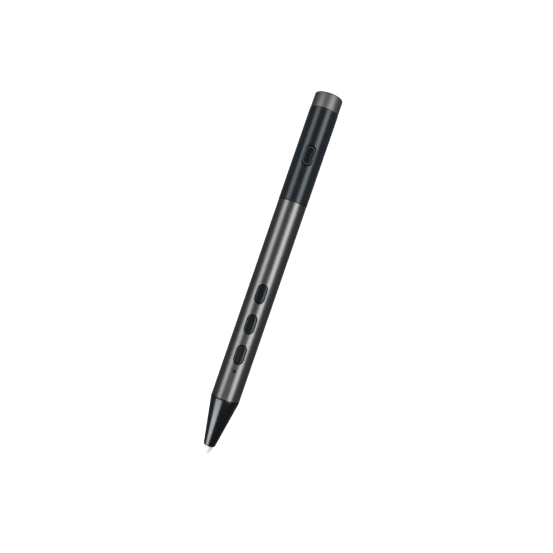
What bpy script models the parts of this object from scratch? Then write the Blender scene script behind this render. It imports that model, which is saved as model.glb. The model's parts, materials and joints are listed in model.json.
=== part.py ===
"""A slim, battery powered 3D printing pen, lying on its side with its buttons up.

It runs along +X, from the nozzle tip to the tail, and rests on the X-Y plane with the origin under the
middle. Sizes are in millimetres, and the helpers turn them into metres. Inside the pen a place is
(station, y, z): the station is the distance from the nozzle tip, y and z are measured from the pen's axis.
"""

import math

import bmesh
import bpy
from mathutils import Vector

MM = 0.001

# ---- driving dimensions -------------------------------------------------------------------------
BODY_LENGTH = 170.7
BODY_RADIUS = 6.6  # the barrel
EDGE_RADIUS = 6.67  # the sleeve and the nose cone's collar, which the pen lies on
SEAM = 0.12  # visible joint between two casing pieces
SHELL_STEPS = 32  # sides of the outer casings, with a flat side down
ROUND_STEPS = 16  # sides of small round pieces
MERGE = 1e-6  # metres

NOZZLE_REACH = 3.9  # how far the nozzle stands out of the nose cone
NOZZLE_RADIUS = 2.05  # where it leaves the nose cone
NOZZLE_HOLE_RADIUS = 2.15
CONE_END_RADIUS = 2.72
CONE_BORE = 4.75
CONE_SPIGOT_LENGTH = 5.3
COLLAR_LENGTH = 0.45
BARREL_START = 26.6
BARREL_END = 119.7
SLEEVE_END = 163.4
SPIGOT_LENGTH = 6.0  # how far the sleeve reaches into the barrel
BARREL_BORE = 5.7
SLEEVE_BORE = 5.6
SPIGOT_RADIUS = 5.55
CAP_RADIUS = 6.54

BUTTON_PITCH = 14.2
BUTTON_STATION = 48.0  # the button nearest the nozzle
BUTTON_SLOT = (9.2, 4.75)
BUTTON_GAP = 0.28
BUTTON_PROUD = 0.25
BUTTON_UNDERSIDE = 4.3
BUTTON_FLANGE = (10.0, 5.2, 0.45)
LIGHT_STATION = 40.2
LIGHT_HOLE_RADIUS = 0.57

POWER_STATION = 141.2
POWER_SLOT = (9.75, 4.85)
BEZEL_WINDOW = (6.6, 2.95)
BEZEL_PROUD = 0.1
POWER_UNDERSIDE = 4.4
POWER_FLANGE = (8.6, 4.0, 0.4)

BOARD_THICKNESS = 0.8
BOARD_BOTTOM = 1.7
BOARD_TOP = BOARD_BOTTOM + BOARD_THICKNESS
BOARD_START = 38.0
BOARD_END = 82.6
BOARD_WIDTH = 9.4
BOARD_SCREW_Y = -3.4
BOARD_SCREW_STATIONS = (55.1, 69.3)
SWITCH_SIZE = (3.5, 3.0, 1.2)
PLUNGER_RADIUS = 0.8
PLUNGER_HOLE_RADIUS = 0.9

SHANK_RADIUS = 1.7
SHANK_END = 23.0
MELT_BORE = 1.0
HEAT_BREAK_RADIUS = 1.3
HEAT_BREAK_BORE = 1.05
HEAT_BREAK_END = 33.0
COLD_END_SPAN = (28.6, 35.6)
LEAD_RADIUS = 0.2
LEAD_Y = 1.3  # the heater's leads, on both sides of the middle
LEAD_Z = 4.2

FILAMENT_Y = 2.4  # the filament's line through the drive
FILAMENT_HOLE_RADIUS = 1.0
INLET_Y = 3.1
INLET_HOLE_RADIUS = 1.8
TUBE_RADIUS = 1.3
TUBE_WALL = 0.3
SCREW_Y = -0.1  # the feed screw's axis
SCREW_RADIUS = 1.8
SCREW_ROOT_RADIUS = 1.45
SCREW_PITCH = 0.8
SCREW_START = 84.9
SCREW_TURNS = 7
JOURNAL_RADIUS = 0.6
BUSH_RADIUS = 1.02
MOTOR_Y = -2.6  # the gear motor's axis
MOTOR_RADIUS = 3.0
GEAR_MODULE = 0.2
SCREW_GEAR_TEETH = 12
PINION_TEETH = 13
GEAR_START = 93.3
GEAR_WIDTH = 1.5
IDLER_STATION = 87.2
IDLER_Y = 4.1
IDLER_RADIUS = 0.9
IDLER_PIVOT_STATION = 90.2

CHASSIS_RADIUS = 5.5
CHASSIS_WALL = 0.8
CHASSIS_START = 36.3
FRONT_PLATE = (83.0, 84.4)  # first and last station of each cross wall of the drive
REAR_PLATE = (91.6, 93.0)
MOTOR_PLATE = (95.2, 96.4)
CARRIER_START = 121.6
CARRIER_END = 157.5
CARRIER_BORE = 5.05
POWER_BOARD_BOTTOM = 2.0
POWER_BOARD_TOP = 2.6

BATTERY_RADIUS = 3.0
BATTERY_PLACE = (-1.5, -1.3)
BATTERY_START = 122.5
BATTERY_LENGTH = 34.0

PORT_Y = -1.4  # centre of the charging socket
PORT_SHELL = (8.94, 3.16)
PORT_OPENING = (9.2, 3.4)

MATERIALS = {  # colour, metallic, roughness
    "gunmetal": ((0.20, 0.20, 0.19), 1.0, 0.32),
    "gunmetal_cap": ((0.17, 0.17, 0.165), 1.0, 0.38),
    "black_satin": ((0.018, 0.021, 0.025), 0.0, 0.33),
    "black_gloss": ((0.010, 0.012, 0.014), 0.0, 0.18),
    "button_black": ((0.015, 0.017, 0.021), 0.0, 0.45),
    "ceramic": ((0.88, 0.88, 0.86), 0.0, 0.30),
    "steel": ((0.62, 0.62, 0.63), 1.0, 0.28),
    "brass": ((0.72, 0.55, 0.28), 1.0, 0.32),
    "bronze": ((0.55, 0.36, 0.20), 1.0, 0.40),
    "aluminium": ((0.72, 0.72, 0.73), 1.0, 0.35),
    "board_green": ((0.02, 0.14, 0.07), 0.0, 0.40),
    "chip_black": ((0.03, 0.03, 0.03), 0.0, 0.50),
    "frame_grey": ((0.22, 0.22, 0.23), 0.0, 0.55),
    "tube_white": ((0.85, 0.85, 0.83), 0.0, 0.35),
    "light_pipe": ((0.10, 0.11, 0.12), 0.0, 0.10),
    "battery_wrap": ((0.05, 0.16, 0.35), 0.0, 0.40),
    "wire_red": ((0.50, 0.03, 0.03), 0.0, 0.45),
    "wire_black": ((0.02, 0.02, 0.02), 0.0, 0.45),
    "wire_white": ((0.80, 0.80, 0.76), 0.0, 0.50),
    "flex_amber": ((0.55, 0.28, 0.06), 0.0, 0.35),
}


# ---- helpers ------------------------------------------------------------------------------------
def clear_scene():
    for obj in list(bpy.data.objects):
        bpy.data.objects.remove(obj, do_unlink=True)


def make_materials():
    for name, (colour, metallic, roughness) in MATERIALS.items():
        material = bpy.data.materials.new(name)
        material.use_nodes = True
        shader = material.node_tree.nodes["Principled BSDF"]
        shader.inputs["Base Color"].default_value = (*colour, 1.0)
        shader.inputs["Metallic"].default_value = metallic
        shader.inputs["Roughness"].default_value = roughness


def make_collection(name):
    collection = bpy.data.collections.new(name)
    bpy.context.scene.collection.children.link(collection)
    return collection


def make_axis():
    """The empty at the nozzle tip, on the pen's axis, that every piece hangs from."""
    axis = bpy.data.objects.new("pen_axis", None)
    axis.location = Vector((-BODY_LENGTH / 2, 0, EDGE_RADIUS)) * MM
    pieces.objects.link(axis)
    return axis


def place(obj, at):
    obj.parent = pen_axis
    obj.location = Vector(at) * MM
    return obj


def hang_on_pivot(name, at, *moving):
    """Parents pieces to an empty that stands on the axis they turn about."""
    pivot = bpy.data.objects.new(name, None)
    pieces.objects.link(pivot)
    place(pivot, at)
    for piece in moving:
        piece.parent = pivot
        piece.location -= pivot.location


def add_piece(name, data, material, at=(0, 0, 0)):
    """A named piece of the pen, or a cutter where material is None."""
    obj = bpy.data.objects.new(name, data)
    if material is None:
        cutters.objects.link(obj)
        obj.hide_render = True
        obj.display_type = "WIRE"
    else:
        pieces.objects.link(obj)
        data.materials.append(bpy.data.materials[material])
    return place(obj, at)


def turned(name, material, profile, at=(0, 0), steps=SHELL_STEPS):
    """A piece turned about a line along the pen at (y, z).
    The profile is (station, radius) points round the section, with each radius measured to the middle of a
    flat side. A profile that starts and ends on the line makes a solid bar. Any other closes on itself."""
    area = sum(a[0] * b[1] - b[0] * a[1] for a, b in zip(profile, profile[1:] + profile[:1]))
    profile = profile if area > 0 else profile[::-1]
    half_side = math.pi / steps
    points = [(x * MM, r * math.tan(half_side) * MM, r * MM) for x, r in profile]
    solid_bar = profile[0][1] == 0 and profile[-1][1] == 0
    edges = [(i, i + 1) for i in range(len(points) - 1)]
    if not solid_bar:
        edges.append((len(points) - 1, 0))
    mesh = bpy.data.meshes.new(name)
    mesh.from_pydata(points, edges, [])
    obj = add_piece(name, mesh, material, (0, *at))
    screw = obj.modifiers.new("Turn", "SCREW")
    screw.axis = "X"
    screw.steps = steps
    screw.render_steps = steps
    screw.use_merge_vertices = True
    screw.merge_threshold = MERGE
    return obj


def bar(name, material, start, end, radius, at=(0, 0), steps=ROUND_STEPS):
    """A plain round bar along the pen."""
    return turned(name, material, [(start, 0), (start, radius), (end, radius), (end, 0)], at, steps)


def ring(name, material, start, end, bore, radius, at=(0, 0), steps=ROUND_STEPS):
    """A plain round tube along the pen."""
    profile = [(start, bore), (start, radius), (end, radius), (end, bore)]
    return turned(name, material, profile, at, steps)


def pin(name, material, station, y, bottom, top, radius, steps=ROUND_STEPS):
    """A round pin that stands across the pen, from z bottom to z top."""
    mesh = bpy.data.meshes.new(name)
    shape = bmesh.new()
    bmesh.ops.create_cone(
        shape,
        cap_ends=True,
        segments=steps,
        radius1=radius * MM,
        radius2=radius * MM,
        depth=(top - bottom) * MM,
    )
    shape.to_mesh(mesh)
    shape.free()
    return add_piece(name, mesh, material, (station, y, (top + bottom) / 2))


def block(name, material, low, high):
    """A box from corner low to corner high."""
    mesh = bpy.data.meshes.new(name)
    shape = bmesh.new()
    bmesh.ops.create_cube(shape, size=1.0)
    size = Vector(high) - Vector(low)
    bmesh.ops.scale(shape, vec=size * MM, verts=shape.verts)
    shape.to_mesh(mesh)
    shape.free()
    return add_piece(name, mesh, material, (Vector(low) + Vector(high)) / 2)


def mesh_of_curve(name, curve, material, at):
    """Turns a curve into a welded mesh piece, which can take a Boolean."""
    helper = bpy.data.objects.new(name + "_curve", curve)
    cutters.objects.link(helper)
    bpy.context.view_layer.update()
    graph = bpy.context.evaluated_depsgraph_get()
    mesh = bpy.data.meshes.new_from_object(helper.evaluated_get(graph))
    bpy.data.objects.remove(helper)
    bpy.data.curves.remove(curve)
    mesh.name = name
    shape = bmesh.new()
    shape.from_mesh(mesh)
    bmesh.ops.remove_doubles(shape, verts=shape.verts, dist=MERGE)
    shape.to_mesh(mesh)
    shape.free()
    return add_piece(name, mesh, material, at)


def add_spline(curve, points, cyclic):
    spline = curve.splines.new("POLY")
    spline.points.add(len(points) - 1)
    for place_on_curve, point in zip(spline.points, points):
        place_on_curve.co = (*(Vector(point).to_3d() * MM), 1.0)
    spline.use_cyclic_u = cyclic


def plate(name, material, outlines, thickness, at):
    """A flat piece in the X-Y plane, centred on at. The first outline is its edge, and the rest are holes."""
    curve = bpy.data.curves.new(name, "CURVE")
    curve.dimensions = "2D"
    curve.fill_mode = "BOTH"
    curve.extrude = thickness / 2 * MM
    for outline in outlines:
        add_spline(curve, outline, cyclic=True)
    return mesh_of_curve(name, curve, material, at)


def section(name, material, outlines, start, end, at=(0, 0)):
    """A piece whose (y, z) outlines run along the pen from start to end."""
    upright = [[(-z, y) for y, z in outline] for outline in outlines]
    obj = plate(name, material, upright, end - start, ((start + end) / 2, *at))
    obj.rotation_euler = (0, math.radians(90), 0)
    return obj


def cut(obj, *others, operation="DIFFERENCE"):
    for other in others:
        boolean = obj.modifiers.new("Cut", "BOOLEAN")
        boolean.operation = operation
        boolean.object = other


def join(obj, *others):
    cut(obj, *others, operation="UNION")


def arc(centre, radius, start, end, count):
    """count points on an arc, with angles in degrees."""
    angles = [math.radians(start + (end - start) * i / (count - 1)) for i in range(count)]
    return [(centre[0] + radius * math.cos(a), centre[1] + radius * math.sin(a)) for a in angles]


def circle(radius, steps=ROUND_STEPS, centre=(0, 0)):
    return arc(centre, radius, 0, 360 - 360 / steps, steps)


def pill(size, end_points=9):
    """A long round-ended outline, length along the pen."""
    length, width = size
    reach, radius = (length - width) / 2, width / 2
    return arc((reach, 0), radius, -90, 90, end_points) + arc((-reach, 0), radius, 90, 270, end_points)


def grown(size, by):
    return (size[0] + by, size[1] + by)


def smooth_route(route, count):
    """count points on a smooth curve through the route's own points."""
    points = [Vector(p) for p in route]
    padded = [2 * points[0] - points[1], *points, 2 * points[-1] - points[-2]]
    spans = len(points) - 1
    found = []
    for i in range(count):
        along = spans * i / (count - 1)
        span = min(int(along), spans - 1)
        t = along - span
        p0, p1, p2, p3 = padded[span : span + 4]
        found.append(
            0.5
            * (
                2 * p1
                + (p2 - p0) * t
                + (2 * p0 - 5 * p1 + 4 * p2 - p3) * t**2
                + (3 * p1 - p0 - 3 * p2 + p3) * t**3
            )
        )
    return found


def wire(name, material, route, radius, count):
    """A round wire along a smooth route."""
    curve = bpy.data.curves.new(name, "CURVE")
    curve.dimensions = "3D"
    curve.bevel_depth = radius * MM
    curve.bevel_resolution = 1
    curve.use_fill_caps = True
    add_spline(curve, smooth_route(route, count), cyclic=False)
    return mesh_of_curve(name, curve, material, (0, 0, 0))


def guide_tube(name, route, count):
    """The thin-walled tube that the filament slides in."""
    curve = bpy.data.curves.new(name, "CURVE")
    curve.dimensions = "3D"
    curve.bevel_depth = TUBE_RADIUS * MM
    curve.bevel_resolution = 2
    add_spline(curve, smooth_route(route, count), cyclic=False)
    tube = mesh_of_curve(name, curve, "tube_white", (0, 0, 0))
    wall = tube.modifiers.new("Wall", "SOLIDIFY")
    wall.thickness = TUBE_WALL * MM
    wall.offset = -1
    wall.use_even_offset = True
    return tube


def gear_outline(teeth, first_tooth, backlash=0.05):
    """An involute gear's edge: one tooth at first_tooth degrees, every tooth thinned by the backlash."""
    pitch_radius = teeth * GEAR_MODULE / 2
    base_radius = pitch_radius * math.cos(math.radians(20))
    tip_radius = pitch_radius + 0.9 * GEAR_MODULE
    root_radius = pitch_radius - 1.25 * GEAR_MODULE
    flank_start = max(base_radius, root_radius)

    def half_angle(radius):
        """Half of the tooth's angle at this radius."""
        roll = math.acos(min(1.0, base_radius / radius))
        pitch_roll = math.radians(20)
        involute = (math.tan(pitch_roll) - pitch_roll) - (math.tan(roll) - roll)
        return math.pi / (2 * teeth) + involute - backlash / (2 * pitch_radius)

    flank = [flank_start + (tip_radius - flank_start) * i / 3 for i in range(4)]
    side = [(root_radius, half_angle(flank_start) * 1.05)] + [(r, half_angle(r)) for r in flank]
    outline = []
    for tooth in range(teeth):
        middle = math.radians(first_tooth) + 2 * math.pi * tooth / teeth
        polar = [(r, middle - a) for r, a in side] + [(r, middle + a) for r, a in reversed(side)]
        outline += [(r * math.cos(a), r * math.sin(a)) for r, a in polar]
    return outline


def gear(name, teeth, y, first_tooth):
    """A gear on a shaft along the pen. Its tooth at 0 degrees faces +Y."""
    outlines = [gear_outline(teeth, first_tooth), circle(JOURNAL_RADIUS + 0.03, 16)]
    section(name, "brass", outlines, GEAR_START, GEAR_START + GEAR_WIDTH, (y, 0))


def finish_meshes():
    """Applies the modifiers and shades the pieces smooth, apart from their sharp edges."""
    bpy.context.view_layer.update()
    graph = bpy.context.evaluated_depsgraph_get()
    solid_pieces = [obj for obj in pieces.objects if obj.data]
    meshes = [bpy.data.meshes.new_from_object(obj.evaluated_get(graph)) for obj in solid_pieces]
    for obj, mesh in zip(solid_pieces, meshes):
        obj.modifiers.clear()
        obj.data = mesh
        mesh.shade_smooth()
        mesh.set_sharp_from_angle(angle=math.radians(35))


# ---- casings ------------------------------------------------------------------------------------
def cone_radius(station):
    slope = (EDGE_RADIUS - CONE_END_RADIUS) / (BARREL_START - COLLAR_LENGTH - NOZZLE_REACH)
    return CONE_END_RADIUS + (station - NOZZLE_REACH) * slope


def make_nose_cone():
    """The tapered nose, with a collar at the barrel and a spigot that plugs into it."""
    wall = 1.0
    edge = 0.4
    chamfer = 0.1
    spigot_end = BARREL_START + CONE_SPIGOT_LENGTH
    hollow_start, hollow_end = 9.0, BARREL_START - 2.6
    profile = [(NOZZLE_REACH, NOZZLE_HOLE_RADIUS), (NOZZLE_REACH, CONE_END_RADIUS - edge)]
    profile += arc((NOZZLE_REACH + edge, CONE_END_RADIUS - edge), edge, 160, 100, 3)
    profile += [
        (BARREL_START - COLLAR_LENGTH, EDGE_RADIUS),
        (BARREL_START - chamfer, EDGE_RADIUS),
        (BARREL_START, EDGE_RADIUS - chamfer),
        (BARREL_START, SPIGOT_RADIUS),
        (spigot_end, SPIGOT_RADIUS),
        (spigot_end, CONE_BORE),
        (hollow_end, CONE_BORE),
        (hollow_start, cone_radius(hollow_start) - wall),
        (hollow_start - 1.2, NOZZLE_HOLE_RADIUS),
    ]
    turned("nose_cone", "black_gloss", profile)


def make_barrel():
    chamfer = 0.1
    start = BARREL_START + SEAM
    profile = [
        (start, BARREL_BORE),
        (start, BODY_RADIUS - chamfer),
        (start + chamfer, BODY_RADIUS),
        (BARREL_END - chamfer, BODY_RADIUS),
        (BARREL_END, BODY_RADIUS - chamfer),
        (BARREL_END, BARREL_BORE),
    ]
    barrel = turned("barrel", "gunmetal", profile)
    slot_middle = (BARREL_BORE + BODY_RADIUS) / 2
    for number, station in enumerate(button_stations()):
        slot = plate(f"button_slot_{number}", None, [pill(BUTTON_SLOT)], 4.0, (station, 0, slot_middle))
        cut(barrel, slot)
    cut(barrel, pin("light_hole", None, LIGHT_STATION, 0, 4.5, 7.5, LIGHT_HOLE_RADIUS))


def make_upper_sleeve():
    start = BARREL_END + SEAM
    inner_spigot = 4.9
    profile = [
        (start - SPIGOT_LENGTH, inner_spigot),
        (start - SPIGOT_LENGTH, SPIGOT_RADIUS),
        (start, SPIGOT_RADIUS),
        (start, EDGE_RADIUS),
        (SLEEVE_END, EDGE_RADIUS),
        (SLEEVE_END, SLEEVE_BORE),
        (start + 0.6, SLEEVE_BORE),
        (start, inner_spigot),
    ]
    sleeve = turned("upper_sleeve", "black_satin", profile)
    slot_middle = (SLEEVE_BORE + BODY_RADIUS) / 2
    cut(sleeve, plate("power_slot", None, [pill(POWER_SLOT)], 4.0, (POWER_STATION, 0, slot_middle)))


def make_tail_cap():
    edge = 0.7
    chamfer = 0.15
    end_wall = 1.2
    start = SLEEVE_END + SEAM
    spigot, spigot_start, bore = 5.5, start - 3.9, 4.95
    profile = [
        (spigot_start, 0),
        (spigot_start, spigot),
        (start, spigot),
        (start, CAP_RADIUS - chamfer),
        (start + chamfer, CAP_RADIUS),
    ]
    profile += arc((BODY_LENGTH - edge, CAP_RADIUS - edge), edge, 90, 0, 5)
    profile.append((BODY_LENGTH, 0))
    cap = turned("tail_cap", "gunmetal_cap", profile)
    hollow = bar("tail_hollow", None, spigot_start - 1, BODY_LENGTH - end_wall, bore, steps=SHELL_STEPS)
    inside, outside = BODY_LENGTH - 3, BODY_LENGTH + 1
    port = section("port_opening", None, [port_outline(PORT_OPENING)], inside, outside, (PORT_Y, 0))
    inlet = bar("inlet_opening", None, inside, outside, INLET_HOLE_RADIUS, (INLET_Y, 0))
    cut(cap, hollow, port, inlet)


# ---- buttons, switches and lights ---------------------------------------------------------------
def button_stations():
    return [BUTTON_STATION + i * BUTTON_PITCH for i in range(3)]


def curved_key(name, material, station, size, flange, underside, top_radius):
    """A key whose top follows the round casing, with a flange under the wall that keeps it in."""
    flange_thickness = flange[2]
    skirt_bottom = underside + 0.1
    skirt_top = top_radius + 0.4
    middle = (skirt_bottom + skirt_top) / 2
    key = plate(name, material, [pill(size)], skirt_top - skirt_bottom, (station, 0, middle))
    crown = bar(name + "_crown", None, station - 10, station + 10, top_radius, steps=SHELL_STEPS)
    cut(key, crown, operation="INTERSECT")
    foot = plate(name + "_foot", None, [pill(flange[:2])], flange_thickness, (station, 0, 0))
    join(key, place(foot, (station, 0, underside + flange_thickness / 2)))


def tact_switch(name, station, board_top, top):
    """A small push switch: its case, and the plunger that moves with the key above it."""
    length, width, height = SWITCH_SIZE
    hole_bottom = board_top + 0.35
    low = (station - length / 2, -width / 2, board_top + 0.02)
    high = (station + length / 2, width / 2, board_top + height)
    case = block(name + "_switch", "chip_black", low, high)
    cut(case, pin(name + "_switch_hole", None, station, 0, hole_bottom, top, PLUNGER_HOLE_RADIUS))
    pin(name + "_plunger", "steel", station, 0, hole_bottom + 0.4, top, PLUNGER_RADIUS)


def make_keys():
    key_size = grown(BUTTON_SLOT, -2 * BUTTON_GAP)
    for name, station in zip(("extrude", "retract", "speed"), button_stations()):
        top = BODY_RADIUS + BUTTON_PROUD
        curved_key(name + "_button", "button_black", station, key_size, BUTTON_FLANGE, BUTTON_UNDERSIDE, top)
        tact_switch(name, station, BOARD_TOP, BUTTON_UNDERSIDE - 0.06)


def make_power_key():
    bezel_size = grown(POWER_SLOT, -0.16)
    bezel_bottom, bezel_top = 5.15, EDGE_RADIUS + 0.4
    middle = (bezel_bottom + bezel_top) / 2
    rings = [pill(bezel_size), pill(BEZEL_WINDOW)]
    bezel = plate("power_bezel", "black_satin", rings, bezel_top - bezel_bottom, (POWER_STATION, 0, middle))
    crown_radius = EDGE_RADIUS + BEZEL_PROUD
    crown = bar("bezel_crown", None, POWER_STATION - 10, POWER_STATION + 10, crown_radius, steps=SHELL_STEPS)
    cut(bezel, crown, operation="INTERSECT")
    key_size = grown(BEZEL_WINDOW, -0.3)
    top = BODY_RADIUS - 0.3
    curved_key("power_button", "button_black", POWER_STATION, key_size, POWER_FLANGE, POWER_UNDERSIDE, top)
    tact_switch("power", POWER_STATION, POWER_BOARD_TOP, POWER_UNDERSIDE - 0.06)


def make_status_light():
    low = (LIGHT_STATION - 0.5, -0.3, BOARD_TOP + 0.02)
    high = (LIGHT_STATION + 0.5, 0.3, BOARD_TOP + 0.4)
    block("status_led", "ceramic", low, high)
    pipe_radius = LIGHT_HOLE_RADIUS - 0.07
    pin("light_pipe", "light_pipe", LIGHT_STATION, 0, BOARD_TOP + 0.5, BODY_RADIUS - 0.4, pipe_radius)


# ---- hot end ------------------------------------------------------------------------------------
def make_nozzle():
    """The ceramic nozzle: a rounded tip, a shoulder behind the nose cone's hole, and a hollow shank."""
    outlet, outlet_length, tip_length, tip_curve = 0.35, 2.2, 3.1, 4.04
    shoulder = NOZZLE_REACH + 2.9
    profile = [(0, outlet), (0, 0.5)]
    profile += arc((tip_length, NOZZLE_RADIUS - tip_curve), tip_curve, 137.9, 90, 7)
    profile += [
        (shoulder, NOZZLE_RADIUS),
        (shoulder, SHANK_RADIUS),
        (SHANK_END, SHANK_RADIUS),
        (SHANK_END, MELT_BORE),
        (outlet_length + 0.8, MELT_BORE),
        (outlet_length, outlet),
    ]
    turned("nozzle", "ceramic", profile)


def make_heater():
    sleeve_end, sleeve_radius = SHANK_END - 1.5, 2.5
    ring("heater_sleeve", "aluminium", sleeve_end - 8, sleeve_end, SHANK_RADIUS + 0.08, sleeve_radius)
    bar("thermistor", "wire_black", sleeve_end - 4, sleeve_end - 2, 0.4, (0, -sleeve_radius - 0.5), 12)


def make_heat_break():
    """The thin steel tube behind the nozzle, and the hexagonal nut that clamps its flange to the shank."""
    flange_start, flange_end, flange_radius = SHANK_END + 0.2, SHANK_END + 1.5, 1.6
    profile = [
        (flange_start, HEAT_BREAK_BORE),
        (flange_start, flange_radius),
        (flange_end, flange_radius),
        (flange_end, HEAT_BREAK_RADIUS),
        (HEAT_BREAK_END, HEAT_BREAK_RADIUS),
        (HEAT_BREAK_END, HEAT_BREAK_BORE),
    ]
    turned("heat_break", "steel", profile, steps=ROUND_STEPS)
    nut_start, lip_start, nut_end = SHANK_END - 1.2, flange_end + 0.3, flange_end + 0.7
    nut_bore, lip_bore, corner_radius = SHANK_RADIUS + 0.1, HEAT_BREAK_RADIUS + 0.15, 3.5
    profile = [
        (nut_start, nut_bore),
        (nut_start, corner_radius),
        (nut_end, corner_radius),
        (nut_end, lip_bore),
        (lip_start, lip_bore),
        (lip_start, nut_bore),
    ]
    nut = turned("nozzle_nut", "brass", profile, steps=ROUND_STEPS)
    cut(nut, bar("nut_flats", None, nut_start - 1, nut_end + 1, 2.9, steps=6), operation="INTERSECT")


def make_cold_end():
    """The finned piece that keeps the filament cool behind the heater, notched for the heater's leads."""
    fin_radius, core_radius, bore = CONE_BORE - 0.15, 2.3, HEAT_BREAK_RADIUS + 0.12
    start, end, fins = COLD_END_SPAN[0], COLD_END_SPAN[1], 5
    pitch = (end - start) / (2 * fins - 1)
    profile = [(start, bore)]
    for fin in range(fins):
        fin_start = start + 2 * fin * pitch
        profile += [(fin_start, fin_radius), (fin_start + pitch, fin_radius)]
        if fin < fins - 1:
            profile += [(fin_start + pitch, core_radius), (fin_start + 2 * pitch, core_radius)]
    profile.append((end, bore))
    cold_end = turned("cold_end", "aluminium", profile, steps=ROUND_STEPS)
    low = (start - 1, -LEAD_Y - 0.5, LEAD_Z - 0.35)
    high = (end + 1, LEAD_Y + 0.5, LEAD_Z + 2)
    cut(cold_end, block("lead_notch", None, low, high))


# ---- filament drive -----------------------------------------------------------------------------
def thread_radius(angle, station):
    """The feed screw's radius: a V thread with a flat crest and root."""
    turns = (station - SCREW_START) / SCREW_PITCH - angle / (2 * math.pi)
    height = abs((turns % 1.0) * 2 - 1)
    share = min(1.0, max(0.0, height * 1.6 - 0.3))
    return SCREW_ROOT_RADIUS + (SCREW_RADIUS - SCREW_ROOT_RADIUS) * share


def make_feed_screw():
    """A journal at each end, and between them a bar whose surface is raised along a helix."""
    rows_per_turn = 4
    rows = SCREW_TURNS * rows_per_turn - 2
    stations = [SCREW_START + SCREW_PITCH * row / rows_per_turn for row in range(rows + 1)]
    gear_end = GEAR_START + GEAR_WIDTH + 0.1
    front_end = FRONT_PLATE[0] + 0.1
    profile = [(front_end, 0), (front_end, JOURNAL_RADIUS), (SCREW_START, JOURNAL_RADIUS)]
    profile += [(station, SCREW_RADIUS) for station in stations]
    profile += [(stations[-1], JOURNAL_RADIUS), (gear_end, JOURNAL_RADIUS), (gear_end, 0)]
    screw = turned("feed_screw", "steel", profile, (SCREW_Y, 0), ROUND_STEPS)
    bpy.context.view_layer.update()
    graph = bpy.context.evaluated_depsgraph_get()
    mesh = bpy.data.meshes.new_from_object(screw.evaluated_get(graph))
    screw.modifiers.clear()
    screw.data = mesh
    for vertex in mesh.vertices:
        across = math.hypot(vertex.co.y, vertex.co.z) / MM
        if across > JOURNAL_RADIUS * 1.5:
            angle = math.atan2(vertex.co.z, vertex.co.y)
            share = thread_radius(angle, vertex.co.x / MM) / across
            vertex.co.y *= share
            vertex.co.z *= share


def make_gears():
    gear("screw_gear", SCREW_GEAR_TEETH, SCREW_Y, 0)
    gear("drive_pinion", PINION_TEETH, MOTOR_Y, 180 / PINION_TEETH)


def make_gear_motor():
    gearbox_end = MOTOR_PLATE[1] + 7.1
    motor_end = gearbox_end + 8.2
    shaft_start = GEAR_START - 0.1
    place_of_motor = (MOTOR_Y, 0)
    shaft = [
        (shaft_start, 0),
        (shaft_start, JOURNAL_RADIUS),
        (MOTOR_PLATE[1] + 2.5, JOURNAL_RADIUS),
        (MOTOR_PLATE[1] + 2.5, 0),
    ]
    turned("gearbox_shaft", "steel", shaft, place_of_motor, ROUND_STEPS)
    boss_radius = 1.3
    gearbox = [
        (MOTOR_PLATE[0] + 0.2, JOURNAL_RADIUS + 0.08),
        (MOTOR_PLATE[0] + 0.2, boss_radius),
        (MOTOR_PLATE[1] + 0.1, boss_radius),
        (MOTOR_PLATE[1] + 0.1, MOTOR_RADIUS),
        (gearbox_end, MOTOR_RADIUS),
        (gearbox_end, JOURNAL_RADIUS + 0.08),
    ]
    turned("gearbox_case", "brass", gearbox, place_of_motor, 32)
    bar("motor_can", "steel", gearbox_end + 0.1, motor_end, MOTOR_RADIUS, place_of_motor, 32)
    cap_start = motor_end + 0.1
    bar("motor_end_cap", "chip_black", cap_start, cap_start + 1, MOTOR_RADIUS - 0.3, place_of_motor, 32)


def make_bushes():
    for name, (start, end) in (("front_bush", FRONT_PLATE), ("rear_bush", REAR_PLATE)):
        ring(name, "bronze", start + 0.15, end - 0.05, JOURNAL_RADIUS + 0.06, BUSH_RADIUS, (SCREW_Y, 0))


def make_idler():
    """The sprung arm that presses the filament onto the feed screw with a small roller."""
    axle_radius, pivot_radius = 0.32, 0.38
    axle_hole_radius, pivot_hole_radius = axle_radius + 0.08, pivot_radius + 0.08
    arm_start, arm_end, fork_end = 86.3, 91.0, 88.5
    arm_half_height, arm_half_width, roller_half_width = 0.62, 1.4, 0.9
    low_y, high_y = IDLER_Y - arm_half_height, IDLER_Y + arm_half_height
    fork_gap = roller_half_width + 0.08
    arm_low, arm_high = (arm_start, low_y, -arm_half_width), (arm_end, high_y, arm_half_width)
    arm = block("idler_arm", "frame_grey", arm_low, arm_high)
    gap_low, gap_high = (arm_start - 1, low_y - 1, -fork_gap), (fork_end, high_y + 1, fork_gap)
    cut(arm, block("idler_fork_gap", None, gap_low, gap_high))
    cut(arm, pin("idler_axle_hole", None, IDLER_STATION, IDLER_Y, -3, 3, axle_hole_radius))
    cut(arm, pin("idler_pivot_hole", None, IDLER_PIVOT_STATION, IDLER_Y, -3, 3, pivot_hole_radius))
    low_z, high_z = -roller_half_width, roller_half_width
    roller = pin("idler_roller", "steel", IDLER_STATION, IDLER_Y, low_z, high_z, IDLER_RADIUS)
    cut(roller, pin("idler_roller_bore", None, IDLER_STATION, IDLER_Y, -2, 2, axle_hole_radius))
    axle = pin("idler_axle", "steel", IDLER_STATION, IDLER_Y, -1.38, 1.38, axle_radius)
    pin("idler_pivot_pin", "steel", IDLER_PIVOT_STATION, IDLER_Y, -2.3, 2.3, pivot_radius)
    hang_on_pivot("idler_pivot", (IDLER_PIVOT_STATION, IDLER_Y, 0), arm, axle, roller)


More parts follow.
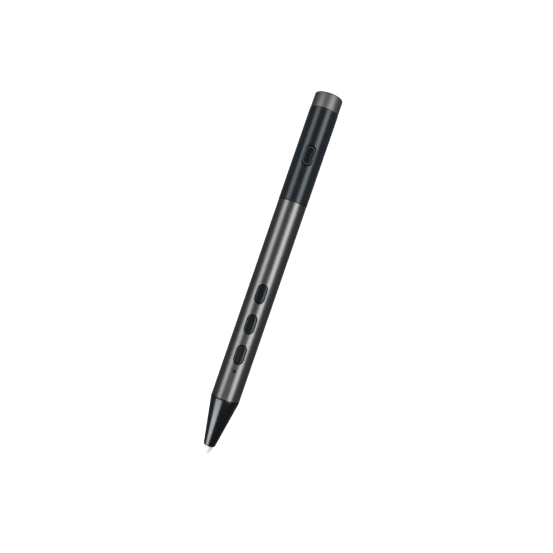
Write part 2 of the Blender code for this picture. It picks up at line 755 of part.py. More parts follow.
def make_idler_spring():
    """A leaf bent up from the front wall, over the roller and down towards the arm."""
    thickness, half_width = 0.15, 0.8
    foot, foot_y = FRONT_PLATE[1] + 0.1, 3.7
    over_y, bend, toe, toe_y = 5.3, 88.5, 89.2, IDLER_Y + 0.82
    strip = [
        (foot, foot_y),
        (foot + thickness, foot_y),
        (foot + thickness, over_y),
        (bend, over_y),
        (toe, toe_y),
        (toe + thickness, toe_y + 0.1),
        (bend + 0.1, over_y + thickness),
        (foot, over_y + thickness),
    ]
    plate("idler_spring", "steel", [strip], 2 * half_width, (0, 0, 0))


# ---- frames -------------------------------------------------------------------------------------
def bay_outline(bore, rim):
    """The outline of a tray's hollow: round below the rim, and open above it."""
    lean = math.degrees(math.asin(rim / bore))
    return [(-7, rim), (-7, 7), (7, 7), (7, rim)] + arc((0, 0), bore, lean, -180 - lean, 25)


def make_chassis():
    """A half-round tray under the control board, with three cross walls that hold the drive."""
    bore = CHASSIS_RADIUS - CHASSIS_WALL
    rim = BOARD_BOTTOM - 0.1
    end = MOTOR_PLATE[1]
    front_wall_end = CHASSIS_START + 1.2
    chassis = bar("inner_chassis", "frame_grey", CHASSIS_START, end, CHASSIS_RADIUS, steps=SHELL_STEPS)
    bays = (
        (front_wall_end, FRONT_PLATE[0]),
        (FRONT_PLATE[1], REAR_PLATE[0]),
        (REAR_PLATE[1], MOTOR_PLATE[0]),
    )
    for number, (start, stop) in enumerate(bays):
        cut(chassis, section(f"bay_{number}", None, [bay_outline(bore, rim)], start, stop))
    low, high = (CHASSIS_START - 1, -7, rim - 0.3), (front_wall_end + 0.1, 7, 7)
    cut(chassis, block("front_wall_cut", None, low, high))
    for side in (-1, 1):
        low_z, high_z = sorted((side * 1.55, side * 2.4))
        ear = block(f"idler_ear_{side + 1}", None, (89.2, 3.45, low_z), (REAR_PLATE[0] + 0.3, 4.85, high_z))
        join(chassis, ear)
    window = block("idler_window", None, (FRONT_PLATE[1], 4.88, -3.2), (REAR_PLATE[0], 7, 7))
    side_relief = block("idler_relief", None, (FRONT_PLATE[1], 3.4, -1.54), (REAR_PLATE[0], 7, 1.54))
    wire_way = block("wire_way", None, (80, -2.2, 2.95), (99, 3.1, 7))
    tube_way = bar("tube_way", None, 30, CHASSIS_START + 3, TUBE_RADIUS + 0.1)
    front = FRONT_PLATE[0] - 1
    filament_way = bar("filament_way", None, front, end + 1, FILAMENT_HOLE_RADIUS, (FILAMENT_Y, 0))
    bush_way = bar("bush_way", None, front, REAR_PLATE[1] + 0.2, BUSH_RADIUS + 0.06, (SCREW_Y, 0))
    boss_way = bar("boss_way", None, MOTOR_PLATE[0] - 0.2, end + 1, 1.38, (MOTOR_Y, 0))
    pivot_way = pin("pivot_way", None, IDLER_PIVOT_STATION, IDLER_Y, -4, 4, 0.44, 16)
    cut(chassis, window, side_relief, wire_way, tube_way, filament_way, bush_way, boss_way, pivot_way)
    for number, station in enumerate(BOARD_SCREW_STATIONS):
        low = (station - 0.9, BOARD_SCREW_Y - 0.85, -3.3)
        high = (station + 0.9, BOARD_SCREW_Y + 0.85, rim - 0.15)
        join(chassis, block(f"screw_post_{number}", None, low, high))
        cut(chassis, pin(f"screw_pilot_{number}", None, station, BOARD_SCREW_Y, -1.5, 4, 0.42, 12))


def make_carrier():
    """The tray that holds the battery and the power board inside the sleeve."""
    carrier = ring(
        "rear_carrier",
        "frame_grey",
        CARRIER_START,
        CARRIER_END,
        CARRIER_BORE,
        CHASSIS_RADIUS,
        steps=SHELL_STEPS,
    )
    top = POWER_BOARD_BOTTOM - 0.1
    cut(carrier, block("carrier_cut", None, (CARRIER_START - 1, -7, top), (CARRIER_END + 1, 7, 7)))


# ---- electronics --------------------------------------------------------------------------------
def make_control_board():
    half = BOARD_WIDTH / 2
    low, high = (BOARD_START, -half, BOARD_BOTTOM), (BOARD_END, half, BOARD_TOP)
    board = block("control_board", "board_green", low, high)
    top = BOARD_TOP + 0.02
    block("controller_chip", "chip_black", (53.1, -1.7, top), (57.1, 2.3, top + 0.8))
    block("driver_chip", "chip_black", (67.8, -1.2, top), (70.8, 1.8, top + 0.8))
    for number, station in enumerate(BOARD_SCREW_STATIONS):
        cut(board, pin(f"board_hole_{number}", None, station, BOARD_SCREW_Y, 1, 4, 0.55, 16))
        head = pin(f"board_screw_{number + 1}", "steel", station, BOARD_SCREW_Y, top, top + 0.5, 0.9, 16)
        join(head, pin(f"screw_shank_{number}", None, station, BOARD_SCREW_Y, -0.8, top + 0.2, 0.38, 16))
        slot_low, slot_high = (station - 2, -3.52, top + 0.3), (station + 2, -3.28, 4)
        cut(head, block(f"screw_slot_{number}", None, slot_low, slot_high))


def make_power_board():
    half = 4.85
    low, high = (128.0, -half, POWER_BOARD_BOTTOM), (156.0, half, POWER_BOARD_TOP)
    block("power_board", "board_green", low, high)
    start, end = BATTERY_START, BATTERY_START + BATTERY_LENGTH
    rim = 0.4
    profile = [
        (start, 0),
        (start, 1.6),
        (start + 0.6, 1.6),
        (start + 0.6, BATTERY_RADIUS - rim),
        (start + 0.6 + rim, BATTERY_RADIUS),
        (end - rim, BATTERY_RADIUS),
        (end, BATTERY_RADIUS - rim),
        (end, 0),
    ]
    turned("battery_cell", "battery_wrap", profile, BATTERY_PLACE, 32)


def port_outline(size):
    """The charging socket's round-ended outline, long way up."""
    return [(-y, z) for z, y in pill(size)]


def make_charging_socket():
    wall = 0.3
    inner = grown(PORT_SHELL, -2 * wall)
    shell_length, shell_end = 7.0, BODY_LENGTH - 0.3
    shell_start = shell_end - shell_length
    outlines = [port_outline(PORT_SHELL), port_outline(inner)]
    section("socket_shell", "steel", outlines, shell_start, shell_end, (PORT_Y, 0))
    base_start = shell_start + 0.1
    base_outline = port_outline(grown(inner, -0.12))
    base = section("socket_tongue", "chip_black", [base_outline], base_start, base_start + 1.5, (PORT_Y, 0))
    low, high = (base_start + 1.0, PORT_Y - 0.35, -3.35), (base_start + 6.0, PORT_Y + 0.35, 3.35)
    join(base, block("tongue_blade", None, low, high))
    board_y = PORT_Y + PORT_SHELL[1] / 2 + 0.1
    block("charge_board", "board_green", (158.6, board_y, -4.0), (168.6, board_y + 0.6, 4.0))


def make_inlet_bush():
    start = BODY_LENGTH - 4.0
    end = BODY_LENGTH - 0.05
    radius, mouth, lead_in = INLET_HOLE_RADIUS - 0.1, 1.45, 0.9
    profile = [
        (start, FILAMENT_HOLE_RADIUS),
        (start, radius),
        (end, radius),
        (end, mouth),
        (end - lead_in, FILAMENT_HOLE_RADIUS),
    ]
    turned("inlet_bush", "black_gloss", profile, (INLET_Y, 0), ROUND_STEPS)


# ---- tubes and wires ----------------------------------------------------------------------------
def make_tubes():
    front = [(82.6, 2.4, 0), (77, 2.35, 0), (69, 1.9, 0), (60, 1.0, 0), (51, 0.25, 0)]
    front += [(44, 0, 0), (33.4, 0, 0)]
    guide_tube("front_guide_tube", front, 20)
    rear = [(96.8, 2.4, 0), (103, 2.45, 0), (112, 2.75, 0), (121, 3.05, 0), (130, INLET_Y, 0)]
    rear.append((BODY_LENGTH - 4.2, INLET_Y, 0))
    guide_tube("rear_guide_tube", rear, 20)


def make_heater_leads():
    for number, y in enumerate((-LEAD_Y, LEAD_Y)):
        route = [(20.0, y, 2.55), (22.5, y, 3.25), (25.5, y, 3.7), (28.5, y, LEAD_Z)]
        route += [(32.0, y, LEAD_Z), (35.5, y, LEAD_Z), (37.8, y, 3.4), (40.0, y, 2.8)]
        wire(f"heater_lead_{number + 1}", "wire_white", route, LEAD_RADIUS, 20)


def make_motor_leads():
    """The motor's two leads loop round behind it and run forward over it to the control board."""
    for number, y in enumerate((-1.5, -0.5)):
        start_y = MOTOR_Y - 0.9 + 1.8 * number
        route = [(113.1, start_y, 0.6), (113.7, start_y, 1.6), (113.5, y, 2.9), (112.0, y, 3.85)]
        route += [(108.0, y, 4.0), (98.0, y, 4.0), (86.0, y, 4.0)]
        route += [(84.0, y, 3.8), (82.0, y, 3.0), (80.8, y, 2.75)]
        wire(f"motor_lead_{number + 1}", ("wire_red", "wire_black")[number], route, LEAD_RADIUS, 30)


def make_power_flex():
    """The flat ribbon that links the power board to the control board over the motor."""
    y, half_width, thickness = 1.6, 1.1, 0.2
    route = [(80.6, 2.7), (82.4, 2.85), (84.0, 3.6), (88.0, 3.75), (105.0, 3.75), (124.0, 3.75)]
    route += [(127.0, 3.4), (128.8, 2.85), (131.0, 2.75)]
    points = smooth_route([(x, z, 0) for x, z in route], 34)
    curve = bpy.data.curves.new("power_flex", "CURVE")
    curve.dimensions = "3D"
    curve.extrude = half_width * MM
    add_spline(curve, points, cyclic=False)
    flex = mesh_of_curve("power_flex", curve, "flex_amber", (0, y, 0))
    flex.rotation_euler = (math.radians(90), 0, 0)
    wall = flex.modifiers.new("Thickness", "SOLIDIFY")
    wall.thickness = thickness * MM
    wall.offset = 0


# ---- build --------------------------------------------------------------------------------------
clear_scene()
pieces = make_collection("slim_3d_pen")
cutters = make_collection("cutters")
make_materials()
pen_axis = make_axis()

make_nose_cone()
make_barrel()
make_upper_sleeve()
make_tail_cap()
make_keys()
make_power_key()
make_status_light()
make_nozzle()
make_heater()
make_heat_break()
make_cold_end()
make_feed_screw()
make_gears()
make_gear_motor()
make_bushes()
make_idler()
make_idler_spring()
make_chassis()
make_carrier()
make_control_board()
make_power_board()
make_charging_socket()
make_inlet_bush()
make_tubes()
make_heater_leads()
make_motor_leads()
make_power_flex()
finish_meshes()
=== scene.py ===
"""The look of a slim 3D printing pen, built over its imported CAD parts.

Sizes are in millimetres and become metres in to_frame(). A place in the pen is (station, y, z): the station
is the distance from the nozzle tip, and y and z are measured from the pen's own axis.
"""

import json
import math
import bmesh
import bpy
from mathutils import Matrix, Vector


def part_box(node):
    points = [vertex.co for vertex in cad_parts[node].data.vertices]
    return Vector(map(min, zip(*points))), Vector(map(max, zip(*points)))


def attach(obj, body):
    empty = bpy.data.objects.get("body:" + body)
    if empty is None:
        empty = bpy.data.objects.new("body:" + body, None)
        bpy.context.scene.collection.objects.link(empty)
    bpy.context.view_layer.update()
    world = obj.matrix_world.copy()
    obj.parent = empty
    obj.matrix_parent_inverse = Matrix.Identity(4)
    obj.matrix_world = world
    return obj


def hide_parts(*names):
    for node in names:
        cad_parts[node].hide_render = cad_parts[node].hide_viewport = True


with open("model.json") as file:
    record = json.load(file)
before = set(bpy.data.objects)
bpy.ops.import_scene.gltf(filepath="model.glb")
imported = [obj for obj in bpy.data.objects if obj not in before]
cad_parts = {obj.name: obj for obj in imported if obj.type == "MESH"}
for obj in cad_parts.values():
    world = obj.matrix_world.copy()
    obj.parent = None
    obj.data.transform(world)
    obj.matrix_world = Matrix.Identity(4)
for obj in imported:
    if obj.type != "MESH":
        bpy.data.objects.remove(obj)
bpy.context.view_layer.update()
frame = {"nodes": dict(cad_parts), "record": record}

MM = 0.001
TINY = 1e-6

# ---- places read from the CAD nodes --------------------------------------------------------------
barrel_low, barrel_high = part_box("barrel")
ORIGIN = Vector(
    (
        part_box("nozzle")[0].x,
        (barrel_low.y + barrel_high.y) / 2,
        (barrel_low.z + barrel_high.z) / 2,
    )
)


def low_of(node):
    """A node's lowest corner as (station, y, z)."""
    return (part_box(node)[0] - ORIGIN) / MM


def high_of(node):
    return (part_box(node)[1] - ORIGIN) / MM


def middle_of(node):
    return (low_of(node) + high_of(node)) / 2


def radius_of(node):
    return (high_of(node).z - low_of(node).z) / 2


LENGTH = high_of("tail_cap").x
BARREL_RADIUS = radius_of("barrel")
SLEEVE_RADIUS = radius_of("upper_sleeve")
CAP_RADIUS = radius_of("tail_cap")
BARREL_START = low_of("barrel").x
BARREL_END = high_of("barrel").x
SLEEVE_END = high_of("upper_sleeve").x
CONE_START = low_of("nose_cone").x

# ---- driving dimensions --------------------------------------------------------------------------
LATHE_STEPS = 192
SMALL_LATHE_STEPS = 96
PILL_STEPS = 20  # steps round each end of a pill outline
ARC_STEP = math.radians(13)  # about the turn of one step of a fillet
SHARP_ANGLE = math.radians(32)

SEAM = 0.12  # gap between two casing pieces
EDGE = 0.14  # rounding of the casing edges
BORE_EDGE = 0.05  # rounding of the edges of the barrel's bore and the sleeve's
CUT_FROM = 3.5  # height above the axis where the openings in the tubes start

BARREL_BORE = 5.7  # radius, as are the other bores
SPIGOT_RADIUS = 5.55
COLLAR_LENGTH = 0.45
CONE_END_RADIUS = 2.72
CONE_WALL = 1.0
CONE_BORE = 4.75
SLEEVE_BORE = 5.6
SLEEVE_SPIGOT_BORE = 4.9
CAP_BORE = 4.95
CAP_SPIGOT_RADIUS = 5.5
CAP_END_WALL = 1.2

NOZZLE_RADIUS = 2.05
NOZZLE_HOLE_RADIUS = 2.15  # of the hole in the cone around it
NOZZLE_BORE = 1.0
MELT_HOLE = 0.32  # radius of the hole at the tip
TIP_FLAT = 0.5  # radius of the flat around it
SHANK_RADIUS = 1.7
TIP_LENGTH = 3.1  # from the tip to where the side runs straight
TIP_CURVE = 4.04  # radius of the arc along the tip's side

KEYS = ("extrude", "retract", "speed")  # the three in the barrel
KEY_SLOT = (9.2, 4.75)  # length and width, as in every pill-shaped size
KEY_SLOT_RIM = 0.06  # rounding of the slot's rim
KEY_GAP = 0.28  # between a key and its slot
KEY_CROWN = 8.0  # radius of a key's top across the pen
KEY_BEVEL = 0.26
KEY_FLANGE = 0.45  # thickness of the flange under a key
KEY_FLANGE_REACH = 0.42  # how far it stands out all round
LIGHT_HOLE = 1.3  # diameter
LIGHT_HOLE_RIM = 0.05
POWER_SLOT = (9.75, 4.85)
POWER_LIP = (7.85, 4.25)
POWER_WINDOW = (6.6, 2.95)
POWER_GAP = 0.15
POWER_CROWN = 12.0
POWER_BEVEL = 0.2
POWER_FLANGE_REACH = 0.5
INLET_RADIUS = 1.8
PORT_OPENING = (9.2, 3.4)
PORT_RIM = 0.22

EDGE_RADIUS = 0.12  # edges sharper than this look worn
EDGE_WEAR = 0.25  # how much of the worn tone shows on them

LIGHT_DISTANCE = 300.0  # from the pen's axis
CAMERA_HEIGHT = 272.0  # above the pen's axis
CAMERA_AT = (0.63, -3.945)  # x and y in the row frame
CAMERA_TURN = -70.96  # degrees, about its own axis
CAMERA_LENS = 39.09  # focal length


# ---- mesh helpers --------------------------------------------------------------------------------
def to_frame(station, y, z):
    return ORIGIN + Vector((station, y, z)) * MM


def finish_mesh(name, shape):
    """Makes the object of a closed bmesh, with smooth faces and sharp edges where it turns."""
    bmesh.ops.recalc_face_normals(shape, faces=shape.faces)
    mesh = bpy.data.meshes.new(name)
    shape.to_mesh(mesh)
    shape.free()
    obj = bpy.data.objects.new(name, mesh)
    bpy.context.scene.collection.objects.link(obj)
    shade(mesh)
    return obj


def shade(mesh):
    mesh.polygons.foreach_set("use_smooth", [True] * len(mesh.polygons))
    mesh.set_sharp_from_angle(angle=SHARP_ANGLE)


def joined_rings(shape, rings, closed):
    """Faces between neighbouring rings of vertices. A ring of one vertex is a point on the axis."""
    pairs = list(zip(rings, rings[1:]))
    if closed:
        pairs.append((rings[-1], rings[0]))
    for first, second in pairs:
        count = max(len(first), len(second))
        if count == 1:
            continue
        for i in range(count):
            j = (i + 1) % count
            corners = [first[i % len(first)], first[j % len(first)]]
            corners += [second[j % len(second)], second[i % len(second)]]
            shape.faces.new(list(dict.fromkeys(corners)))


def rounded(profile):
    """A closed profile of (station, radius, fillet) corners, with an arc for each filleted corner."""
    points = []
    count = len(profile)
    for i, (x, r, fillet) in enumerate(profile):
        corner = Vector((x, r))
        if fillet == 0:
            points.append((x, r))
            continue
        arriving = (corner - Vector(profile[i - 1][:2])).normalized()
        leaving = (Vector(profile[(i + 1) % count][:2]) - corner).normalized()
        turn = arriving.angle(leaving)
        centre = corner + (leaving - arriving).normalized() * fillet / math.cos(turn / 2)
        start = corner - arriving * fillet * math.tan(turn / 2) - centre
        end = corner + leaving * fillet * math.tan(turn / 2) - centre
        first = math.atan2(start.y, start.x)
        sweep = (math.atan2(end.y, end.x) - first + math.pi) % (2 * math.pi) - math.pi
        steps = max(2, round(abs(sweep) / ARC_STEP))
        for k in range(steps + 1):
            angle = first + sweep * k / steps
            points.append((centre.x + fillet * math.cos(angle), centre.y + fillet * math.sin(angle)))
    return points


def lathe(name, profile, at=(0, 0), steps=LATHE_STEPS):
    """A closed profile turned about a line along the pen at (y, z)."""
    shape = bmesh.new()
    rings = []
    for x, r in rounded(profile):
        if r < TINY:
            rings.append([shape.verts.new(to_frame(x, *at))])
            continue
        angles = [2 * math.pi * k / steps for k in range(steps)]
        places = [to_frame(x, at[0] + r * math.cos(a), at[1] + r * math.sin(a)) for a in angles]
        rings.append([shape.verts.new(place) for place in places])
    joined_rings(shape, rings, closed=True)
    return finish_mesh(name, shape)


def pill(length, width):
    """A round-ended outline with its long way along u. It is a circle where length and width are the same."""
    end = (length - width) / 2
    points = []
    count = PILL_STEPS if end < TINY else PILL_STEPS + 1
    for side, start in ((1, -90), (-1, 90)):
        for k in range(count):
            angle = math.radians(start + 180 * k / PILL_STEPS)
            points.append((side * end + width / 2 * math.cos(angle), width / 2 * math.sin(angle)))
    return points


def grown(size, by):
    return (size[0] + 2 * by, size[1] + 2 * by)


def loft(name, rows, place, closed=False):
    """Pill outlines joined in turn. A row is (size, height, crown): a crown is the radius over which the row
    bends down across the pen. place turns (u, v, height) into a place in the pen."""
    shape = bmesh.new()
    rings = []
    for size, height, crown in rows:
        ring = []
        for u, v in pill(*size):
            drop = crown - math.sqrt(crown**2 - v**2) if crown else 0
            ring.append(shape.verts.new(to_frame(*place(u, v, height - drop))))
        rings.append(ring)
    joined_rings(shape, rings, closed)
    if not closed:
        shape.faces.new(rings[0][::-1])
        shape.faces.new(rings[-1])
    return finish_mesh(name, shape)


def upwards(station):
    return lambda u, v, height: (station + u, v, height)


def tailwards(y):
    """Heights are stations, and the long way of the outline stands up."""
    return lambda u, v, height: (height, y + v, u)


def opening(name, size, bottom, top, place, edge=EDGE, crown=None):
    """A cutter for a pill opening whose rim is eased where it meets the outer face at height top.

    Above the rim it widens, and it ends in a flat top that is well clear of the face."""
    rise = 0.4
    clearance = 1.0
    rim_angles = [math.radians(degrees) for degrees in (0, 18, 36, 54)]
    rows = [(size, bottom, None)]
    for angle in rim_angles:
        rows.append((grown(size, edge * (1 - math.cos(angle))), top - edge * (1 - math.sin(angle)), crown))
    rim_size, rim_height = rows[-1][:2]
    wide = grown(rim_size, rise * math.sin(rim_angles[-1]))
    rows.append((wide, rim_height + rise * math.cos(rim_angles[-1]), crown))
    rows.append((wide, top + clearance, None))
    return loft(name, rows, place)


def tube_opening(name, size, radius, station, edge=EDGE):
    """A cutter that goes up through the wall of a tube of the radius given."""
    return opening(name, size, CUT_FROM, radius, upwards(station), edge=edge, crown=radius)


def cut(obj, cutters):
    """Takes the cutters out of obj for good, and keeps the faces of obj smooth."""
    for cutter in cutters:
        boolean = obj.modifiers.new("Cut", "BOOLEAN")
        boolean.solver = "EXACT"
        boolean.object = cutter
    bpy.context.view_layer.update()
    graph = bpy.context.evaluated_depsgraph_get()
    mesh = bpy.data.meshes.new_from_object(obj.evaluated_get(graph))
    obj.modifiers.clear()
    obj.data = mesh
    for cutter in cutters:
        bpy.data.objects.remove(cutter, do_unlink=True)
    shade(mesh)


def true_round(obj, radius):
    """Gives the faces on the outer round surface the normals of a true cylinder, for an even sheen."""
    near = 0.003
    mesh = obj.data
    normals = [Vector(corner.vector) for corner in mesh.corner_normals]
    for face in mesh.polygons:
        offsets = [mesh.vertices[v].co - ORIGIN for v in face.vertices]
        arms = [Vector((0, o.y, o.z)) for o in offsets]
        if all(abs(arm.length / MM - radius) < near for arm in arms):
            for loop, arm in zip(face.loop_indices, arms):
                normals[loop] = arm.normalized()
    mesh.normals_split_custom_set(normals)


def dress(obj, node, body, slot):
    """obj stands for the CAD node, moves with its body and takes the slot's finish."""
    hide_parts(node)
    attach(obj, body)
    obj.data.materials.clear()
    obj.data.materials.append(finishes[slot])


# ---- materials -----------------------------------------------------------------------------------
class Finish:
    """A procedural material, wired round its Principled shader."""

    def __init__(self, name):
        self.material = bpy.data.materials.new(name)
        self.material.use_nodes = True
        self.tree = self.material.node_tree
        self.shader = self.tree.nodes["Principled BSDF"]
        self.place = self.add("ShaderNodeTexCoord").outputs["Object"]
        self.relief = None

    def add(self, kind, **values):
        node = self.tree.nodes.new(kind)
        for key, value in values.items():
            setattr(node, key, value)
        return node

    def feed(self, socket, value):
        if isinstance(value, bpy.types.NodeSocket):
            self.tree.links.new(value, socket)
        elif isinstance(value, tuple):
            socket.default_value = (*value, 1.0) if len(value) == 3 and socket.type == "RGBA" else value
        else:
            socket.default_value = value

    def set(self, **values):
        for key, value in values.items():
            self.feed(self.shader.inputs[key.replace("_", " ")], value)

    def texture(self, kind, scale, **values):
        """A texture node over the object's coordinates, which scale multiplies axis by axis."""
        node = self.add(kind, **values)
        mapping = self.add("ShaderNodeMapping")
        self.feed(mapping.inputs["Vector"], self.place)
        mapping.inputs["Scale"].default_value = scale
        self.feed(node.inputs["Vector"], mapping.outputs["Vector"])
        node.inputs["Scale"].default_value = 1.0
        return node

    def noise(self, size, detail, stretch=1.0):
        """Noise with features about size mm wide, and stretch times as long along the pen."""
        across = 1 / (size * MM)
        noise = self.texture("ShaderNodeTexNoise", (1 / (size * MM * stretch), across, across))
        noise.inputs["Detail"].default_value = detail
        return noise.outputs["Fac"]

    def spread(self, value, low, high, start=0.3, end=0.7):
        """Maps start..end of value to low..high."""
        node = self.add("ShaderNodeMapRange")
        self.feed(node.inputs["Value"], value)
        for key, number in (("From Min", start), ("From Max", end), ("To Min", low), ("To Max", high)):
            node.inputs[key].default_value = number
        return node.outputs["Result"]

    def maths(self, operation, first, second):
        node = self.add("ShaderNodeMath", operation=operation)
        self.feed(node.inputs[0], first)
        self.feed(node.inputs[1], second)
        return node.outputs[0]

    def mix(self, factor, first, second):
        node = self.add("ShaderNodeMix", data_type="RGBA")
        self.feed(node.inputs[0], factor)
        self.feed(node.inputs[6], first)
        self.feed(node.inputs[7], second)
        return node.outputs[2]

    def edges(self, radius):
        """1 on edges sharper than the radius in mm, and 0 on open faces."""
        bevel = self.add("ShaderNodeBevel", samples=4)
        bevel.inputs["Radius"].default_value = radius * MM
        plain = self.add("ShaderNodeNewGeometry").outputs["Normal"]
        dot = self.add("ShaderNodeVectorMath", operation="DOT_PRODUCT")
        self.feed(dot.inputs[0], bevel.outputs["Normal"])
        self.feed(dot.inputs[1], plain)
        return self.spread(dot.outputs["Value"], 1.0, 0.0, start=0.90, end=0.99)

    def bump(self, height, depth):
        """Adds relief depth mm deep."""
        node = self.add("ShaderNodeBump")
        node.inputs["Strength"].default_value = 1.0
        node.inputs["Distance"].default_value = depth * MM
        self.feed(node.inputs["Height"], height)
        if self.relief is not None:
            self.feed(node.inputs["Normal"], self.relief)
        self.relief = node.outputs["Normal"]
        self.feed(self.shader.inputs["Normal"], self.relief)

    def cover(self, share, colour):
        """Lays another colour over the base colour: share is 1 where it hides the base."""
        base = self.shader.inputs["Base Color"].links[0].from_socket
        self.set(Base_Color=self.mix(share, base, colour))


def shaded(colour, share):
    return tuple(min(1.0, channel * share) for channel in colour)


def make_finish(
    slot,
    colour,
    metallic=0.0,
    roughness=0.4,
    grain=0.12,
    stretch=1.0,
    relief=0.002,
    mottle=0.08,
    streak=0.04,
    worn=None,
    coat=0.0,
    specular=0.5,
    tint=(1.0, 1.0, 1.0),
):
    """A surface with a fine grain, slow drifts of colour and gloss, and edges rubbed to the worn tone.

    grain is the size of the grain in mm and relief its depth; stretch draws it out along the pen. mottle is
    how far the colour drifts over a few millimetres, and streak how far the roughness does."""
    patch_size = 7.0
    rub_size = 1.5
    finish = Finish(slot)
    patches = finish.noise(patch_size, detail=4.0)
    fine = finish.noise(grain, detail=3.0, stretch=stretch)
    tone = finish.mix(
        finish.spread(patches, 0.0, 1.0),
        shaded(colour, 1 - mottle),
        shaded(colour, 1 + mottle),
    )
    tone = finish.mix(finish.spread(fine, 0.0, 0.5), tone, shaded(colour, 1 - 1.5 * mottle))
    rubs = finish.spread(finish.noise(rub_size, detail=3.0), 0.2, 1.0)
    rubbed = finish.maths("MULTIPLY", finish.edges(EDGE_RADIUS), rubs)
    rubbed = finish.maths("MULTIPLY", rubbed, EDGE_WEAR)
    finish.set(
        Base_Color=finish.mix(rubbed, tone, worn or shaded(colour, 1.8)),
        Metallic=metallic,
        Roughness=finish.maths(
            "ADD",
            finish.spread(patches, roughness - streak, roughness + streak),
            finish.spread(fine, -streak / 2, streak / 2),
        ),
        Coat_Weight=coat,
        Specular_IOR_Level=specular,
        Specular_Tint=tint,
    )
    finish.bump(fine, relief)
    return finish


def make_finishes():
    """One finish for each material slot of the record."""
    looks = {
        "gunmetal": dict(
            colour=(0.146, 0.149, 0.143), metallic=1.0, roughness=0.31, grain=0.09, relief=0.0006,
            mottle=0.03, streak=0.008, worn=(0.42, 0.42, 0.41),
        ),
        "gunmetal_cap": dict(
            colour=(0.170, 0.173, 0.167), metallic=1.0, roughness=0.48, grain=0.09, relief=0.0008,
            mottle=0.05, streak=0.015, worn=(0.36, 0.36, 0.35),
        ),
        "black_satin": dict(
            colour=(0.0040, 0.0062, 0.0085), roughness=0.26, grain=0.10, relief=0.0003,
            tint=(0.86, 0.95, 1.0), mottle=0.05, streak=0.006, worn=(0.05, 0.055, 0.06),
        ),
        "black_gloss": dict(
            colour=(0.0008, 0.0011, 0.0016), roughness=0.25, grain=0.15, relief=0.0002, specular=0.35,
            tint=(0.92, 0.97, 1.0), mottle=0.05, streak=0.006, worn=(0.03, 0.03, 0.034),
        ),
        "button_black": dict(
            colour=(0.0018, 0.0028, 0.0040), roughness=0.20, grain=0.07, relief=0.0005,
            tint=(0.84, 0.95, 1.0), mottle=0.1, streak=0.01, worn=(0.04, 0.045, 0.05),
        ),
        "ceramic": dict(
            colour=(0.37, 0.37, 0.366), roughness=0.35, grain=0.2, relief=0.0004, mottle=0.015,
            worn=(0.95, 0.95, 0.94),
        ),
        "steel": dict(
            colour=(0.60, 0.60, 0.61), metallic=1.0, roughness=0.27, grain=0.06, stretch=12.0,
            relief=0.0008, worn=(0.75, 0.75, 0.76),
        ),
        "brass": dict(
            colour=(0.70, 0.52, 0.25), metallic=1.0, roughness=0.30, grain=0.06, stretch=0.3,
            relief=0.0008, worn=(0.85, 0.68, 0.38),
        ),
        "bronze": dict(
            colour=(0.50, 0.31, 0.17), metallic=1.0, roughness=0.42, grain=0.10, relief=0.004, mottle=0.2,
        ),
        "aluminium": dict(
            colour=(0.70, 0.70, 0.71), metallic=1.0, roughness=0.33, grain=0.07, stretch=0.3,
            relief=0.001, worn=(0.85, 0.85, 0.86),
        ),
        "chip_black": dict(
            colour=(0.025, 0.025, 0.027), roughness=0.50, grain=0.08, relief=0.002, mottle=0.2,
        ),
        "frame_grey": dict(colour=(0.20, 0.20, 0.21), roughness=0.52, grain=0.15, relief=0.003, mottle=0.1),
        "tube_white": dict(colour=(0.84, 0.84, 0.82), roughness=0.33, grain=0.1, stretch=20.0, mottle=0.03),
        "battery_wrap": dict(
            colour=(0.04, 0.14, 0.33), roughness=0.36, grain=0.4, stretch=6.0, relief=0.004, coat=0.3,
        ),
        "wire_red": dict(colour=(0.50, 0.03, 0.03), roughness=0.42, grain=0.1, stretch=8.0),
        "wire_black": dict(colour=(0.02, 0.02, 0.02), roughness=0.42, grain=0.1, stretch=8.0, mottle=0.2),
    }
    made = {slot: make_finish(slot, **look).material for slot, look in looks.items()}
    made["board_green"] = make_board_finish()
    made["light_pipe"] = make_light_pipe_finish()
    made["wire_white"] = make_sleeving_finish()
    made["flex_amber"] = make_flex_finish()
    return made


def make_board_finish():
    """Green solder mask over copper tracks."""
    finish = make_finish("board_green", (0.012, 0.10, 0.045), roughness=0.35, grain=0.2, mottle=0.1)
    tracks = finish.texture("ShaderNodeTexBrick", scale=(900.0, 1500.0, 1.0))
    tracks.inputs["Mortar Size"].default_value = 0.06
    share = finish.maths("MULTIPLY", tracks.outputs["Fac"], 0.55)
    finish.cover(share, (0.05, 0.22, 0.09))
    finish.bump(tracks.outputs["Fac"], 0.02)
    return finish.material


def make_light_pipe_finish():
    """Smoked clear plastic, dark while the lamp under it is off."""
    colour = (0.003, 0.003, 0.004)
    finish = make_finish("light_pipe", colour, roughness=0.3, grain=0.3, relief=0.0003, specular=0.15)
    finish.set(Transmission_Weight=0.2, IOR=1.49)
    return finish.material


def make_sleeving_finish():
    """Woven glass-fibre sleeving."""
    finish = make_finish("wire_white", (0.80, 0.80, 0.76), roughness=0.6, grain=0.12, mottle=0.05)
    weave = finish.texture(
        "ShaderNodeTexWave",
        scale=(2500.0, 2500.0, 2500.0),
        wave_type="BANDS",
        bands_direction="DIAGONAL",
    )
    finish.bump(weave.outputs["Fac"], 0.015)
    return finish.material


def make_flex_finish():
    """Amber film with copper tracks along it."""
    colour = (0.50, 0.24, 0.05)
    finish = make_finish("flex_amber", colour, roughness=0.3, grain=0.2, mottle=0.06, coat=0.4)
    tracks = finish.texture(
        "ShaderNodeTexWave",
        scale=(0.0, 1000.0, 0.0),
        wave_type="BANDS",
        bands_direction="Y",
    )
    share = finish.spread(tracks.outputs["Fac"], 0.0, 0.6, start=0.55, end=0.75)
    finish.cover(share, (0.34, 0.13, 0.04))
    return finish.material


finishes = make_finishes()


